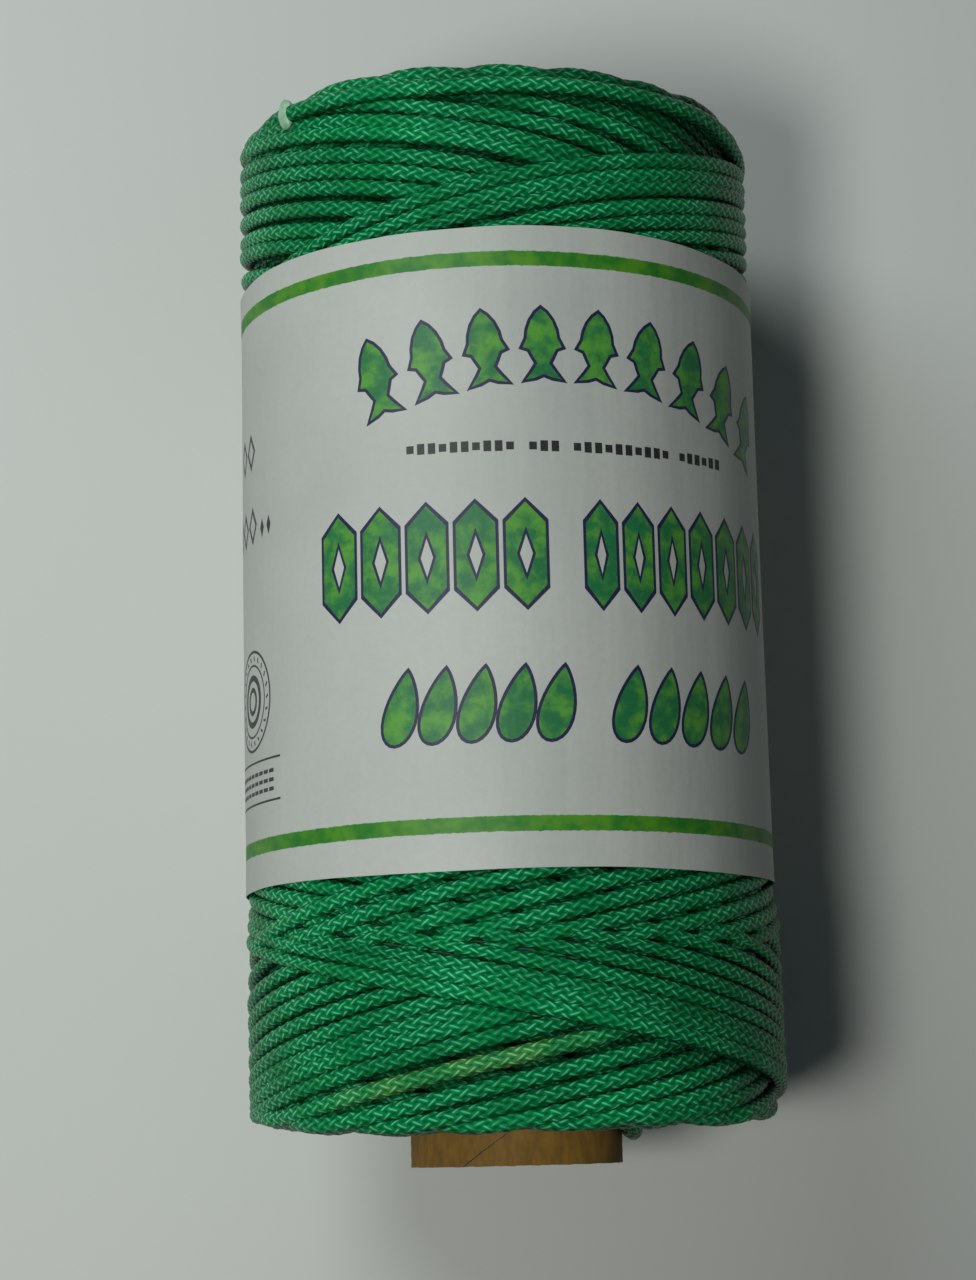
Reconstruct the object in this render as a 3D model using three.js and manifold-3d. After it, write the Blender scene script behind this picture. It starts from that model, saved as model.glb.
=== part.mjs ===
// A tube of braided nylon seine twine: the twine is cross-wound in layers on a spiral paper core, and a
// printed paper label is glued round the middle. The tube lies on its side on z = 0, with its axis along Y,
// and the origin is under the middle of the core. Lengths are in millimetres and angles in radians.
// An angle round the axis starts at +Z, straight up, and turns towards +X.
import * as THREE from "three";
import { mergeVertices } from "three/addons/utils/BufferGeometryUtils.js";
import Module from "manifold-3d";

const wasm = await Module();
wasm.setup();

// Driving dimensions of the wound twine
const cordDiameter = 2.6;
const packageRadius = 38;
const packageLength = 149;
const shoulderRadius = 3;
const shoulderSteps = 4;
const windingLayerCount = 9;

// Driving dimensions of the paper core
const coreLength = 158;
const coreOuterRadius = 15.25;
const coreBoreRadius = 12.7;
const nearOverhang = 4.3;
const skinPlyThickness = 0.45;
const seamLead = 65;
const seamGap = 1.2;
const linerSeamFacet = 51;
const wrapperSeamFacet = 38;

// Driving dimensions of the paper label
const labelLength = 89;
const labelThickness = 0.25;
const labelShift = 4.9;
const labelGlueMargin = 6;
const glueThickness = 0.15;
const glueSteps = 4;

// The label's seam lies low on the +X side, and its last facets climb over its own start.
const labelSeamFacet = 20;
const labelFlapFacets = 3;
const labelClimbFacets = 3;

// Driving dimensions of the twine's two ends, as angles round the axis in degrees
const tailTipAngle = -50;
const tailSpan = 16;
const tailInset = 3;
const startBendAngle = 88;
const startBendSpan = 40;
const startBendBulge = 0.6;
const tailSteps = 8;
const startBendSteps = 10;

// Small clearances between neighbours
const layerGap = 0.05;
const contactGap = 0.3;
const glueGap = 0.1;

// Every round section is the same regular polygon, so nested pieces have parallel faces.
const facets = 60;
const facetAngle = (2 * Math.PI) / facets;
const cordFacets = 8;

const labelOuterRadius = packageRadius + contactGap + labelThickness;
const axisHeight = labelOuterRadius * Math.cos(facetAngle);
const packageCentreY = -coreLength / 2 + nearOverhang + packageLength / 2;

const twine = new THREE.MeshStandardMaterial({ color: 0x0f7a45, roughness: 0.5, metalness: 0 });
const sealedNylon = new THREE.MeshStandardMaterial({ color: 0x9cc79c, roughness: 0.3, metalness: 0 });
const kraftPaper = new THREE.MeshStandardMaterial({ color: 0x8d683b, roughness: 0.85, metalness: 0 });
const greyBoard = new THREE.MeshStandardMaterial({ color: 0x8f7a5c, roughness: 0.95, metalness: 0 });
const labelPaper = new THREE.MeshStandardMaterial({ color: 0xd9dad6, roughness: 0.7, metalness: 0 });
const paperGlue = new THREE.MeshStandardMaterial({ color: 0xe6dcb4, roughness: 0.4, metalness: 0 });

const part = new THREE.Group();
const onAxis = new THREE.Group();
onAxis.position.set(0, 0, axisHeight);
const wound = new THREE.Group();
wound.position.set(0, packageCentreY, 0);
part.add(onAxis);
onAxis.add(wound);

function addMesh(parent, name, geometry, material) {
  const mesh = new THREE.Mesh(geometry, material);
  mesh.name = name;
  parent.add(mesh);
}

// The sideways and upward place of a point at an angle and a radius, pressed flat under the belly.
function sectionPoint(angle, radius) {
  const flatDepth = radius * Math.cos(facetAngle);
  return new THREE.Vector2(radius * Math.sin(angle), Math.max(radius * Math.cos(angle), -flatDepth));
}

// The belly of a round piece is pressed into a strip two facets wide, which keeps the tube from rolling.
function pressBellyFlat(geometry, radius) {
  const position = geometry.getAttribute("position");
  const flatDepth = radius * Math.cos(facetAngle);
  for (let i = 0; i < position.count; i += 1) {
    position.setZ(i, Math.max(position.getZ(i), -flatDepth));
  }
  return geometry;
}

// How far the wound twine reaches from its middle at a radius: full length inside, rounded at the shoulder.
function endReach(radius) {
  const intoShoulder = radius - (packageRadius - shoulderRadius);
  if (intoShoulder <= 0) {
    return packageLength / 2;
  }
  return packageLength / 2 - shoulderRadius + Math.sqrt(shoulderRadius ** 2 - intoShoulder ** 2);
}

// One cover of twine between two radii, its ends following the package's rounded shoulders.
function windingLayer(innerRadius, outerRadius) {
  const steps = outerRadius > packageRadius - shoulderRadius ? shoulderSteps : 1;
  const profile = [];
  for (let k = 0; k <= steps; k += 1) {
    const radius = THREE.MathUtils.lerp(innerRadius, outerRadius, k / steps);
    profile.push(new THREE.Vector2(radius, -endReach(radius)));
  }
  for (let k = steps; k >= 0; k -= 1) {
    const radius = THREE.MathUtils.lerp(innerRadius, outerRadius, k / steps);
    profile.push(new THREE.Vector2(radius, endReach(radius)));
  }
  profile.push(profile[0].clone());
  return new THREE.LatheGeometry(profile, facets);
}

function addWindingLayers() {
  const windingDepth = packageRadius - coreOuterRadius - layerGap;
  const layerPitch = windingDepth / windingLayerCount;
  for (let layer = 1; layer <= windingLayerCount; layer += 1) {
    const outerRadius = coreOuterRadius + layerGap + layer * layerPitch;
    const innerRadius = outerRadius - layerPitch + layerGap;
    const geometry = windingLayer(innerRadius, outerRadius);
    if (layer === windingLayerCount) {
      pressBellyFlat(geometry, outerRadius);
    }
    addMesh(wound, `winding_layer_${layer}`, geometry, twine);
  }
}

function paperTube(innerRadius, outerRadius, length) {
  const profile = [
    new THREE.Vector2(innerRadius, -length / 2),
    new THREE.Vector2(outerRadius, -length / 2),
    new THREE.Vector2(outerRadius, length / 2),
    new THREE.Vector2(innerRadius, length / 2),
    new THREE.Vector2(innerRadius, -length / 2),
  ];
  return new THREE.LatheGeometry(profile, facets);
}

// A paper strip wound round the axis as a helix, its edges one seam gap apart, longer than the core.
function helicalStrip(innerRadius, outerRadius, startAngle) {
  const halfWidth = (seamLead - seamGap) / 2;
  const stations = Math.ceil((coreLength / seamLead + 1) * facets);
  const vertices = [];
  const indices = [];
  for (let k = 0; k <= stations; k += 1) {
    const turn = (k - stations / 2) / facets;
    const angle = startAngle + turn * 2 * Math.PI;
    const middle = turn * seamLead;
    for (const [radius, y] of [
      [innerRadius, middle - halfWidth],
      [outerRadius, middle - halfWidth],
      [outerRadius, middle + halfWidth],
      [innerRadius, middle + halfWidth],
    ]) {
      vertices.push(radius * Math.sin(angle), y, radius * Math.cos(angle));
    }
  }
  for (let k = 0; k < stations; k += 1) {
    for (let side = 0; side < 4; side += 1) {
      const here = 4 * k + side;
      const next = 4 * k + ((side + 1) % 4);
      indices.push(here, here + 4, next, next, here + 4, next + 4);
    }
  }
  const last = 4 * stations;
  indices.push(0, 1, 2, 0, 2, 3);
  indices.push(last, last + 2, last + 1, last, last + 3, last + 2);
  const geometry = new THREE.BufferGeometry();
  geometry.setAttribute("position", new THREE.Float32BufferAttribute(vertices, 3));
  geometry.setIndex(indices);
  return geometry;
}

function solidFrom(geometry) {
  const bare = geometry.clone();
  bare.deleteAttribute("normal");
  bare.deleteAttribute("uv");
  const merged = mergeVertices(bare);
  return new wasm.Manifold(
    new wasm.Mesh({
      numProp: 3,
      vertProperties: new Float32Array(merged.getAttribute("position").array),
      triVerts: new Uint32Array(merged.getIndex().array),
    }),
  );
}

function geometryFrom(solid) {
  const mesh = solid.getMesh();
  const geometry = new THREE.BufferGeometry();
  geometry.setAttribute("position", new THREE.Float32BufferAttribute(mesh.vertProperties, 3));
  geometry.setIndex(Array.from(mesh.triVerts));
  geometry.computeVertexNormals();
  return geometry;
}

// A wound strip trimmed square at both ends of the core.
function spiralPly(innerRadius, outerRadius, startAngle) {
  const strip = solidFrom(helicalStrip(innerRadius, outerRadius, startAngle));
  const width = 4 * coreOuterRadius;
  const lengthwise = solidFrom(new THREE.BoxGeometry(width, coreLength, width));
  return geometryFrom(strip.intersect(lengthwise));
}

// The core is a kraft liner, two plies of grey board and a kraft wrapper. The seams of the liner and the
// wrapper stay open by the seam gap, and the board's seams are pressed shut.
function addCore() {
  const boardInner = coreBoreRadius + skinPlyThickness + layerGap;
  const boardOuter = coreOuterRadius - skinPlyThickness - layerGap;
  const boardMiddle = (boardInner + boardOuter) / 2;
  const linerSeam = linerSeamFacet * facetAngle;
  const wrapperSeam = wrapperSeamFacet * facetAngle;
  const liner = spiralPly(coreBoreRadius, boardInner - layerGap, linerSeam);
  const innerBoard = paperTube(boardInner, boardMiddle - layerGap / 2, coreLength);
  const outerBoard = paperTube(boardMiddle + layerGap / 2, boardOuter, coreLength);
  const wrapper = spiralPly(boardOuter + layerGap, coreOuterRadius, wrapperSeam);
  addMesh(onAxis, "core_liner_ply", liner, kraftPaper);
  addMesh(onAxis, "core_board_ply_1", innerBoard, greyBoard);
  addMesh(onAxis, "core_board_ply_2", outerBoard, greyBoard);
  addMesh(onAxis, "core_wrapper_ply", wrapper, kraftPaper);
}

// How far the label stands off the twine: its flap climbs over its own start, with room for the glue.
function labelLift(facet) {
  const flapLift = labelThickness + glueThickness + 2 * glueGap;
  return flapLift * THREE.MathUtils.smoothstep(facet, facets - labelClimbFacets, facets);
}

function extrudeAlongAxis(outline, length) {
  const options = { depth: length, bevelEnabled: false };
  const geometry = new THREE.ExtrudeGeometry(new THREE.Shape(outline), options);
  geometry.rotateX(Math.PI / 2);
  geometry.translate(0, length / 2, 0);
  return geometry;
}

function labelBand() {
  const outer = [];
  const inner = [];
  for (let facet = 0; facet <= facets + labelFlapFacets; facet += 1) {
    const angle = (labelSeamFacet + facet) * facetAngle;
    const radius = labelOuterRadius + labelLift(facet);
    outer.push(sectionPoint(angle, radius));
    inner.push(sectionPoint(angle, radius - labelThickness));
  }
  return extrudeAlongAxis([...outer, ...inner.reverse()], labelLength);
}

// The glue lies in the slot between the label's start and the flap over it.
function glueStrip() {
  const margin = facetAngle / 4;
  const start = labelSeamFacet * facetAngle + margin;
  const end = (labelSeamFacet + labelFlapFacets) * facetAngle - margin;
  const outer = [];
  const inner = [];
  for (let k = 0; k <= glueSteps; k += 1) {
    const angle = THREE.MathUtils.lerp(start, end, k / glueSteps);
    inner.push(sectionPoint(angle, labelOuterRadius + glueGap));
    outer.push(sectionPoint(angle, labelOuterRadius + glueGap + glueThickness));
  }
  return extrudeAlongAxis([...outer, ...inner.reverse()], labelLength - 2 * labelGlueMargin);
}

function addLabel() {
  const banded = new THREE.Group();
  banded.position.set(0, labelShift, 0);
  wound.add(banded);
  addMesh(banded, "paper_label", labelBand(), labelPaper);
  addMesh(banded, "label_glue_strip", glueStrip(), paperGlue);
}

// A round cord along a smooth curve through the points.
function cordAlong(points, diameter, steps) {
  const section = new THREE.Shape();
  section.absarc(0, 0, diameter / 2, 0, 2 * Math.PI, false);
  const path = new THREE.CatmullRomCurve3(points);
  const options = { steps, curveSegments: cordFacets, extrudePath: path, bevelEnabled: false };
  return new THREE.ExtrudeGeometry(section, options);
}

function aroundAxis(angle, radius, y) {
  return new THREE.Vector3(radius * Math.sin(angle), y, radius * Math.cos(angle));
}

// The outer end of the twine is cut and melted. It lies by the far shoulder, high on the -X side.
function addSealedTailEnd() {
  const tipAngle = THREE.MathUtils.degToRad(tailTipAngle);
  const span = THREE.MathUtils.degToRad(tailSpan);
  const y = packageLength / 2 - tailInset;
  const radius = packageRadius + contactGap + cordDiameter / 2;
  const points = [0, 0.33, 0.67, 1].map((t) => aroundAxis(tipAngle + span * t, radius, y));
  addMesh(wound, "sealed_tail_end", cordAlong(points, cordDiameter, tailSteps), sealedNylon);
}

// The inner end of the twine comes out beside the core and bulges from the near end as a slack bend.
function addInnerStartBend() {
  const middleAngle = THREE.MathUtils.degToRad(startBendAngle);
  const halfSpan = THREE.MathUtils.degToRad(startBendSpan / 2);
  const radius = coreOuterRadius + contactGap + cordDiameter / 2;
  const restY = -packageLength / 2 - contactGap - cordDiameter / 2;
  const points = [-1, -0.5, 0, 0.5, 1].map((t) =>
    aroundAxis(middleAngle + halfSpan * t, radius, restY - startBendBulge * (1 - t * t)),
  );
  addMesh(wound, "inner_start_bend", cordAlong(points, cordDiameter, startBendSteps), twine);
}

addCore();
addWindingLayers();
addInnerStartBend();
addSealedTailEnd();
addLabel();

export default part;
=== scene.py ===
"""The looks of a tube of braided nylon twine: cross-wound cord, spiral paper core and printed label.

Lengths are in metres. Places on the tube are given as an angle round its axis, which starts straight up
and turns towards +X, a radius from the axis, and a distance along the axis from the middle of the twine.
"""

import math

import bmesh
import bpy
import numpy as np
from mathutils import Matrix, Vector


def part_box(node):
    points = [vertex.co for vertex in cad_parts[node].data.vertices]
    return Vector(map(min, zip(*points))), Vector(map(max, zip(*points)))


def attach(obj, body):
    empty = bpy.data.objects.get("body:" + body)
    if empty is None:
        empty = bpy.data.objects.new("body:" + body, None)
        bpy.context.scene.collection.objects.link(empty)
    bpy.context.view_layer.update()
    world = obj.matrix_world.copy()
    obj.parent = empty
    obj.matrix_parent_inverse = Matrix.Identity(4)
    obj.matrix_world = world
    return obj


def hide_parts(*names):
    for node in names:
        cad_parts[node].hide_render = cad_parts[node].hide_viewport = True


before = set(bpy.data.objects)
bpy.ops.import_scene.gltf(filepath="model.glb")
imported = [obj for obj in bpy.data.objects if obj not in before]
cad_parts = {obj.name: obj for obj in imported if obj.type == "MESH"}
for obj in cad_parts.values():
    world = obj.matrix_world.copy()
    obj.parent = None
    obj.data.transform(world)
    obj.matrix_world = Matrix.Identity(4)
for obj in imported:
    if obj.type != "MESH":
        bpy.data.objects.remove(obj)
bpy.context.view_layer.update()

MM = 0.001
TURN = 2 * math.pi

# The tube, as the frame gives it
package_low, package_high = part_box("winding_layer_9")
label_low, label_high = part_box("paper_label")
PACKAGE_RADIUS = (package_high.x - package_low.x) / 2
PACKAGE_MIDDLE = (package_high.y + package_low.y) / 2
PACKAGE_HALF = (package_high.y - package_low.y) / 2
AXIS_HEIGHT = package_high.z - PACKAGE_RADIUS
CORE_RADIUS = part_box("core_wrapper_ply")[1].x
LABEL_MIDDLE = (label_high.y + label_low.y) / 2 - PACKAGE_MIDDLE
LABEL_HALF = (label_high.y - label_low.y) / 2

# The cord and its braid. The lay is the length in which a yarn goes once round the cord, the wave is how
# far a yarn rises and dips at its crossings, and the crown is how far its round top stands up.
CORD_WIDTH = 2.46 * MM
CORD_HEIGHT = 2.40 * MM
YARNS_EACH_WAY = 6
BRAID_LAY = 12.8 * MM
YARN_WAVE = 0.08 * MM
YARN_CROWN = 0.17 * MM
RING_STEP = 0.30 * MM
FACE_RING_STEP = 0.42 * MM
# The cord rolls slowly to and fro as it is laid: turns, and the length of one roll
TWIST_TURNS = 0.35
TWIST_SPAN = 0.19
SLOW_TWIST_TURNS = 0.2
SLOW_TWIST_SPAN = 2.7 * TWIST_SPAN
# Angles round the cord's section: close together on its outer side, wide apart underneath
SECTION = np.radians([-180, -140, -112, -92, -75, -59, -44, -29, -14,
                      0, 14, 29, 44, 59, 75, 92, 112, 140])

# The grids on which the winding is worked out
ANGLE_CELLS = 720
LENGTH_CELLS = 480
RADIUS_CELLS = 72

# The winding. A stroke is the cord's run from one end of the package to the other.
STROKES = 197
TURNS_IN_A_STROKE = 3
FIRST_LAYER = 5
WIND_PITCH = 49 * MM
MEAN_RADIUS = 30 * MM
CORD_SPACING = 2.50 * MM
SPACING_SCATTER = 0.06
REVERSAL_SHARPNESS = 0.9996
REVERSAL_SPREAD = 0.9 * MM
WANDER = 0.13 * MM
WANDER_CELLS = 60
CONTACT_OFFSETS = (-0.65, -0.3, 0, 0.3, 0.65)
MOST_SAG = 0.45 * MM
PILE_UP = 0.8 * MM
LAST_ANGLE = math.radians(95)

# The package's shape: its round shoulders, a near end that stops short on its two sides, a fuller side
# towards +X, and a slight swell that the label presses in
SHOULDER = 3.2 * MM
SHORT_SIDE = 1.4 * MM
FULL_SIDE = 0.8 * MM
SWELL_UNDER_LABEL = 0.10 * MM
SWELL_BESIDE_LABEL = 0.45 * MM
SWELL_RUN = 6 * MM
FACE_BAND = 9 * MM
FACE_FLOOR = 6 * MM
MOST_PRESSED_IN = 4.5 * MM
MOST_LET_OUT = 3 * MM

# What shows: a cord does if it is less than this far below the surface
SHOWING_DEPTH = 0.22 * MM
WIDENED_CELLS = 9
LEAST_RUN_CELLS = 14
MOST_TRIANGLES = 165_000

# The cords are squeezed where they cross in a row, and get painted shade where they lie low below the
# surface
CROSSING_ROW = 49.7 * MM
PINCH = 0.22
PINCH_RUN = 2.4 * MM
SUNK_FULL_SHADE = 2.0 * MM

# A yellowed length of cord near the near end
STAIN_ANGLE = math.radians(-12)
STAIN_ALONG = -66.8 * MM
STAIN_HALF = 14 * MM

# The twine's ends: the tail's melted tip on the far shoulder, and the bend at the core
TAIL_START = math.radians(-14)
TAIL_ALONG = PACKAGE_HALF - 4.2 * MM
TAIL_SETTLING = 2.5
TAIL_SWEEP = math.radians(35)
TAIL_LENGTH = 24 * MM
TAIL_TIP_RADIUS = 38.5 * MM
LUMP_ANGLE = math.radians(-50)
LUMP_RADIUS = 38.6 * MM
LUMP_INSET = 3.1 * MM
LUMP_SIZE = Vector((1.25, 2.2, 0.95)) * MM
LUMP_KNOBS = 14
BEND_LENGTH = 19 * MM
BEND_INSET = 2.2 * MM
BEND_BULGE = 2.2 * MM

# The label and its two printed lines
LABEL_THICKNESS = 0.12 * MM
LABEL_START = math.radians(-240)
LABEL_END = math.radians(138)
LAP_START = math.radians(108)
LAP_CLIMB = math.radians(14)
LABEL_INNER_RADIUS = PACKAGE_RADIUS + 0.30 * MM
FAR_STRIPE = 44.55 * MM
NEAR_STRIPE = -33.8 * MM
STRIPE_HALF = 1.05 * MM

# The print, in millimetres on the flat label: x runs round the tube from its top line and y along it. A row
# of signs is made of groups, each with its first place, its count and its pitch.
INK_STRIP = 1.0
INK_BORDER = 0.45
EDGE_LIFT = 0.015 * MM
FILL_LIFT = 0.035 * MM
MARK_LIFT = 0.02 * MM
ARCH_TOP = 32.3
ARCH_MIDDLE = 8.0
ARCH_FALL = 0.0065
FISH_GROUPS = ((-17.5, 9, 7.9),)
FISH_WIDTH = 5.5
FISH_HEIGHT = 10.0
MESH_GROUPS = ((-24.2, 5, 6.85), (13.8, 7, 5.8))
MESH_ROW = 2.9
MESH_HEIGHT = 14.4
MESH_GAP = 1.4
MESH_BORDER = 0.42
DROP_GROUPS = ((-14.6, 5, 5.4), (17.6, 5, 5.7))
DROP_ROW = -17.6
DROP_SIZE = (5.6, 9.8)
DROP_LEAN = 0.22
DROP_CORNERS = 28
DASH_GROUPS = (10, 3, 10, 6)
DASHES_START = -12.6
DASH_ROW = 17.9
DASH_PITCH = 1.55
DASH_GROUP_GAP = 1.6
OPEN_LOZENGES = ((24.0, (-51.6, -47.2)), (13.0, (-55.6, -51.2, -46.8)))
TARGET_PLACE = (-47.6, -12.6)
TARGET_BANDS = ((7.2, 0.4), (5.2, 0.3), (3.4, 0.9), (1.7, 0.7))
TARGET_TICKS = 22
TARGET_TICK_RADIUS = 6.2
RULED_ROWS = (-21.6, -27.6)
DOTTED_ROWS = (-23.4, -24.7, -26.0)

# Paper edges sharper than this stay crisp
SHARP_ANGLE = math.radians(40)

# The core
BORE_RADIUS = 12.7 * MM
SEAM_LEAD = 65 * MM
SEAM_GAP = 0.4 * MM
LINER_SEAM = math.radians(48.5)
WRAPPER_SEAM = math.radians(-29.5)

# The camera
CAMERA_DISTANCE = 419.75 * MM
CAMERA_TILT = math.radians(9.855)
CAMERA_ROLL = math.radians(-1.432)
CAMERA_TARGET = Vector((-2.31 * MM, -2.24 * MM, 38.34 * MM))
CAMERA_LENS = 79.4

# The lights: name, place, width, power and colour
LIGHTS = (
    ("key", (-0.185, -0.14, 0.60), 0.15, 1.63, (1.0, 0.985, 0.95)),
    ("fill", (-0.255, 0.29, 0.45), 0.32, 1.31, (0.94, 0.98, 1.0)),
)
LIGHTS_AIM = Vector((0, 0, 0.03))
ROOM_COLOR = (0.80, 0.90, 1.0, 1)
ROOM_STRENGTH = 0.055


# ---- places on the tube

def place(angle, radius, along):
    """Points in the row frame at an angle, a radius and a distance along the tube."""
    x = radius * np.sin(angle)
    y = PACKAGE_MIDDLE + along + 0 * angle
    z = AXIS_HEIGHT + radius * np.cos(angle)
    return np.stack([x, y, z], axis=-1)


def eased(value):
    """A value held between 0 and 1, with a soft start and stop."""
    held = np.clip(value, 0, 1)
    return held * held * (3 - 2 * held)


def smooth(values, spread):
    """A row of numbers blurred along its length."""
    reach = int(3 * spread) + 1
    weights = np.exp(-0.5 * (np.arange(-reach, reach + 1) / spread) ** 2)
    padded = np.pad(values, reach, mode="edge")
    return np.convolve(padded, weights / weights.sum(), mode="valid")


def shortfall(angle):
    """How far the near end stops short of the package's full length: most on its two sides."""
    return SHORT_SIDE * np.sin(angle) ** 6


def shoulder_drop(angle, along):
    """How far the package's rounded shoulder falls below its side."""
    out = np.where(along < 0, shortfall(angle) - along, along)
    past = np.clip(out - (PACKAGE_HALF - SHOULDER), 0, SHOULDER * 0.98)
    return SHOULDER - np.sqrt(SHOULDER**2 - past**2)


def end_reach(radius):
    """How far the package reaches along its axis at a radius."""
    over = min(max(radius - (PACKAGE_RADIUS - SHOULDER), 0), SHOULDER)
    return PACKAGE_HALF - SHOULDER + math.sqrt(SHOULDER**2 - over**2)


# ---- winding the cord

def shifted(grid, step, axis):
    """A grid moved by whole cells: it wraps round the tube, and its end cells repeat along the tube."""
    if axis == 0:
        return np.roll(grid, step, axis=0)
    columns = np.clip(np.arange(grid.shape[1]) + step, 0, grid.shape[1] - 1)
    return grid[:, columns]


def raise_grid(grid, column, at, cell, origin, half, level, height, lean=1.0):
    """Raises a grid's surface to the round top of a cord that crosses it."""
    reach = int(math.ceil(1.05 * half / cell))
    for step in range(-reach, reach + 1):
        row = ((at - origin) / cell).astype(int) + step
        offset = ((row + 0.5) * cell + origin - at) * lean
        inside = (np.abs(offset) < half) & (row >= 0) & (row < grid.shape[1])
        top = level + height * np.sqrt(np.clip(1 - (offset / half) ** 2, 0, 1))
        np.maximum.at(grid, (column[inside], row[inside]), top[inside])


def surfaces(grid, column, row_at, reach, half, level, height):
    """Which samples of a cord reach a grid's surface, at their middle or near either edge."""
    seen = np.zeros(len(column), bool)
    for offset in (-reach, 0, reach):
        own = level + height * math.sqrt(1 - (offset / half) ** 2)
        seen |= grid[column, row_at(offset)] <= own + SHOWING_DEPTH
    return seen


def stroke_along(start, stop, travel, random):
    """Places along the tube in a stroke, which runs evenly, turns back sharply and wanders a little."""
    sway = np.arcsin(REVERSAL_SHARPNESS * np.sin(math.pi * (travel - 0.5)))
    sway /= math.asin(REVERSAL_SHARPNESS)
    drift = smooth(random.standard_normal(len(travel)), WANDER_CELLS)
    along = (start + stop) / 2 + (stop - start) / 2 * sway
    return along + WANDER * drift / drift.std() * np.sin(math.pi * travel)


class Winding:
    """The cord's path, laid stroke by stroke on the core, and the surface that it builds up."""

    def __init__(self):
        self.angle_cell = TURN / ANGLE_CELLS
        self.low_end = -PACKAGE_HALF - MM
        self.length_cell = -2 * self.low_end / LENGTH_CELLS
        self.radius_cell = (PACKAGE_RADIUS - CORE_RADIUS) / RADIUS_CELLS
        self.side = np.full((ANGLE_CELLS, LENGTH_CELLS), CORE_RADIUS)
        self.near_face = np.full((ANGLE_CELLS, RADIUS_CELLS), PACKAGE_HALF - FACE_FLOOR)
        self.far_face = self.near_face.copy()
        self.wind()
        self.build_faces()
        self.settle()

    def angle_index(self, angle):
        return np.mod(np.round(angle / self.angle_cell).astype(int), ANGLE_CELLS)

    def length_index(self, along):
        return ((along - self.low_end) / self.length_cell).astype(int)

    def face_row(self, radius):
        """An end face's row at a radius, or its first or last row."""
        row = ((radius - CORE_RADIUS) / self.radius_cell).astype(int)
        return np.clip(row, 0, RADIUS_CELLS - 1)

    def side_row(self, along):
        """The side's row at a place along the tube, or its first or last row."""
        return np.clip(self.length_index(along), 0, LENGTH_CELLS - 1)

    def wind(self):
        """Winds the whole cord, and keeps its path and the run of cord up to each place on it."""
        random = np.random.default_rng(7)
        lean = math.atan(WIND_PITCH / (TURN * MEAN_RADIUS))
        advance = TURN * CORD_SPACING / math.cos(lean) / WIND_PITCH
        scatter = 1 + SPACING_SCATTER * random.standard_normal(STROKES)
        sweeps = TURN * TURNS_IN_A_STROKE + advance / 2 * scatter
        angle = LAST_ANGLE + sweeps.sum()
        laid = []
        start = None
        for stroke in range(STROKES):
            outward = 1 if stroke % 2 == 0 else -1
            layer = (stroke + FIRST_LAYER) / (STROKES + FIRST_LAYER - 1)
            top = math.sqrt(CORE_RADIUS**2 + layer * (PACKAGE_RADIUS**2 - CORE_RADIUS**2))
            reach = end_reach(top) - CORD_WIDTH / 2
            if outward < 0:
                reach -= shortfall(angle - sweeps[stroke])
            stop = outward * (reach - REVERSAL_SPREAD * random.uniform())
            if start is None:
                start = -stop
            travel = np.linspace(0, 1, int(sweeps[stroke] / self.angle_cell))
            along = stroke_along(start, stop, travel, random)
            path = self.lay(angle - sweeps[stroke] * travel, along, top)
            laid.append([values[:-1] for values in path])
            angle -= sweeps[stroke]
            start = stop
        # the last of the cord lies along the far shoulder, up to the tail piece
        travel = np.linspace(0, 1, int((LAST_ANGLE - TAIL_START) / self.angle_cell))
        turned = LAST_ANGLE + (TAIL_START - LAST_ANGLE) * travel
        along = start + (TAIL_ALONG - start) * eased(TAIL_SETTLING * travel)
        laid.append(self.lay(turned, along, PACKAGE_RADIUS))
        self.angle, self.along, radius = (np.concatenate(values) for values in zip(*laid))
        self.radius = smooth(radius, 2)
        points = place(self.angle, self.radius, self.along)
        steps = np.linalg.norm(np.diff(points, axis=0), axis=1)
        self.run = np.concatenate([[0], np.cumsum(steps)])

    def lay_on(self, angle, along, top):
        """The radius of the cord's middle, resting on what is wound and pulled in by its tension."""
        column = self.angle_index(angle)
        supports = []
        for offset in CONTACT_OFFSETS:
            supports.append(self.side[column, self.side_row(along + offset * MM)])
        support = np.sort(np.array(supports), axis=0)[-2]
        cells_per_mm = MM / (top * self.angle_cell)
        radius = smooth(support, max(3, 3.5 * cells_per_mm))
        radius = np.maximum(radius, support - MOST_SAG) + CORD_HEIGHT / 2
        limit = top + PILE_UP - CORD_HEIGHT / 2
        return smooth(np.minimum(radius, limit), max(2, 2 * cells_per_mm))

    def lay(self, angle, along, top):
        """Lays a stretch of cord, raises the package's side under it and returns its path."""
        radius = self.lay_on(angle, along, top)
        lean = np.cos(np.arctan(np.gradient(along) / np.gradient(angle * radius)))
        raise_grid(self.side, self.angle_index(angle), along, self.length_cell, self.low_end,
                   CORD_WIDTH / 2, radius, CORD_HEIGHT / 2, lean)
        return angle, along, radius

    def build_faces(self):
        """How far the cords of each end reach out, at each angle and radius."""
        for face, sign in ((self.near_face, -1), (self.far_face, 1)):
            close = self.along * sign > PACKAGE_HALF - FACE_BAND
            column = self.angle_index(self.angle[close])
            raise_grid(face, column, self.radius[close], self.radius_cell, CORE_RADIUS,
                       CORD_HEIGHT / 2, np.abs(self.along[close]), CORD_WIDTH / 2)

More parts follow.
